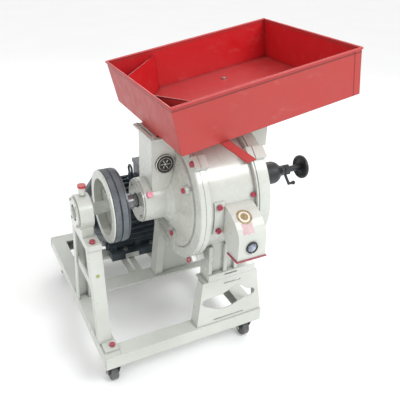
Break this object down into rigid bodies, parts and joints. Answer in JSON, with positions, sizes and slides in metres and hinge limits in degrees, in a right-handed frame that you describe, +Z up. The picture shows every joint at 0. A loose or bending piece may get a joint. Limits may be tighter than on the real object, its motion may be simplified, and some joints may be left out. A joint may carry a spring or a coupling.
{
  "type": "grain mill",
  "caption": "Belt-driven disc mill for grain on a wheeled channel frame, with sloping tray hopper, slide gate, discharge chute, gap-setting handwheel and electric motor.",
  "frame": {"origin": "on the floor under the middle of the machine's bounding box", "axes": "+X along the mill shaft from the drive pulley to the adjusting handwheel, +Y towards the motor, +Z up"},
  "size_m": [0.903, 0.96, 1.0839],
  "materials": {
    "frame_paint": "satin machine enamel, chipped at edges",
    "hopper_paint": "satin enamel on sheet, scuffed inside",
    "bolt_paint": "brushed-on gloss enamel",
    "motor_paint": "satin enamel on castings",
    "bright_steel": "turned, slightly oiled",
    "cast_plate": "as cast, machined faces",
    "mill_stone": "coarse bonded abrasive",
    "black_metal": "semi-gloss black",
    "black_rubber": "matt, dusty",
    "sight_glass": "clear, dusty",
    "black_plastic": "moulded",
    "wheel_rubber": "grey tread, worn"
  },
  "bodies": {
    "machine": {"side_beams": "frame_paint", "end_beams": "frame_paint", "cross_bars": "frame_paint", "motor_rails": "frame_paint", "bearing_stand": "frame_paint", "stand_front": "frame_paint", "stand_rear": "frame_paint", "caster_plates": "black_metal", "drum_casing": "frame_paint", "feed_flange": "frame_paint", "column_plate": "frame_paint", "bearing_caps": "frame_paint", "bearing_outer_rings": "bright_steel", "seals": "black_rubber", "grease_fittings": "bolt_paint", "round_badge": "black_metal", "right_cover": "frame_paint", "lug_bolts": "bolt_paint", "red_bolts": "bolt_paint", "discharge_chute": "frame_paint", "chute_lip": "bolt_paint", "sight_ring": "black_metal", "sight_glass": "sight_glass", "outboard_housing": "frame_paint", "steel_bolts": "bright_steel", "hopper_tray": "hopper_paint", "corner_plates": "hopper_paint", "gate_guides": "hopper_paint", "tray_support": "frame_paint", "screw_gland": "black_metal", "motor_body": "motor_paint", "stator_core": "bright_steel", "motor_shields": "motor_paint", "fan_cowl": "motor_paint", "terminal_box": "motor_paint", "motor_fittings": "motor_paint", "v_belts": "black_rubber"},
    "mill_rotor": {"main_shaft": "bright_steel", "shaft_sleeves": "bright_steel", "drive_pulley": "frame_paint", "runner_plate": "cast_plate", "runner_stone": "mill_stone", "feed_worm": "bright_steel"},
    "armature": {"motor_rotor": "bright_steel", "motor_pulley": "bright_steel", "motor_fan": "black_plastic"},
    "carrier": {"stone_carrier": "cast_plate", "carrier_stone": "mill_stone"},
    "screw": {"adjust_screw": "black_metal", "handwheel": "black_metal"},
    "lever": {"lock_lever": "black_metal"},
    "gate": {"gate_slide": "hopper_paint"},
    "swivel_front_left": {"fork_front_left": "black_metal"},
    "roller_front_left": {"wheel_front_left": "wheel_rubber"},
    "swivel_front_right": {"fork_front_right": "black_metal"},
    "roller_front_right": {"wheel_front_right": "wheel_rubber"},
    "swivel_rear_left": {"fork_rear_left": "black_metal"},
    "roller_rear_left": {"wheel_rear_left": "wheel_rubber"},
    "swivel_rear_right": {"fork_rear_right": "black_metal"},
    "roller_rear_right": {"wheel_rear_right": "wheel_rubber"}
  },
  "joints": [
    {"name": "mill_spin", "type": "hinge", "parent": "machine", "child": "mill_rotor", "pos_m": [0.0065, -0.1, 0.584], "axis": [1, 0, 0], "continuous": true},
    {"name": "motor_spin", "type": "hinge", "parent": "machine", "child": "armature", "pos_m": [0.0065, 0.33, 0.293], "axis": [1, 0, 0], "continuous": true},
    {"name": "screw_turn", "type": "hinge", "parent": "carrier", "child": "screw", "pos_m": [0.0065, -0.1, 0.584], "axis": [1, 0, 0], "range_deg": [-480.5, 480.5]},
    {"name": "carrier_slide", "type": "slide", "parent": "machine", "child": "carrier", "axis": [1, 0, 0], "range_m": [-0.004, 0.004]},
    {"name": "lock_lever_turn", "type": "hinge", "parent": "machine", "child": "lever", "pos_m": [0.0065, -0.1, 0.584], "axis": [1, 0, 0], "range_deg": [-40, 50]},
    {"name": "gate_pull", "type": "slide", "parent": "machine", "child": "gate", "axis": [0, -1, 0], "range_m": [0, 0.11]},
    {"name": "swivel_turn_front_left", "type": "hinge", "parent": "machine", "child": "swivel_front_left", "pos_m": [-0.3985, -0.271, 0.088], "axis": [0, 0, 1], "continuous": true},
    {"name": "wheel_turn_front_left", "type": "hinge", "parent": "swivel_front_left", "child": "roller_front_left", "pos_m": [-0.3985, -0.257, 0.031], "axis": [1, 0, 0], "continuous": true},
    {"name": "swivel_turn_front_right", "type": "hinge", "parent": "machine", "child": "swivel_front_right", "pos_m": [0.1205, -0.271, 0.088], "axis": [0, 0, 1], "continuous": true},
    {"name": "wheel_turn_front_right", "type": "hinge", "parent": "swivel_front_right", "child": "roller_front_right", "pos_m": [0.1205, -0.257, 0.031], "axis": [1, 0, 0], "continuous": true},
    {"name": "swivel_turn_rear_left", "type": "hinge", "parent": "machine", "child": "swivel_rear_left", "pos_m": [-0.3985, 0.355, 0.088], "axis": [0, 0, 1], "continuous": true},
    {"name": "wheel_turn_rear_left", "type": "hinge", "parent": "swivel_rear_left", "child": "roller_rear_left", "pos_m": [-0.3985, 0.369, 0.031], "axis": [1, 0, 0], "continuous": true},
    {"name": "swivel_turn_rear_right", "type": "hinge", "parent": "machine", "child": "swivel_rear_right", "pos_m": [0.1205, 0.355, 0.088], "axis": [0, 0, 1], "continuous": true},
    {"name": "wheel_turn_rear_right", "type": "hinge", "parent": "swivel_rear_right", "child": "roller_rear_right", "pos_m": [0.1205, 0.369, 0.031], "axis": [1, 0, 0], "continuous": true}
  ],
  "couplings": [
    {"joint": "motor_spin", "follows": "mill_spin", "ratio": 2},
    {"joint": "screw_turn", "follows": "carrier_slide", "rad_per_m": 2094.4}
  ]
}
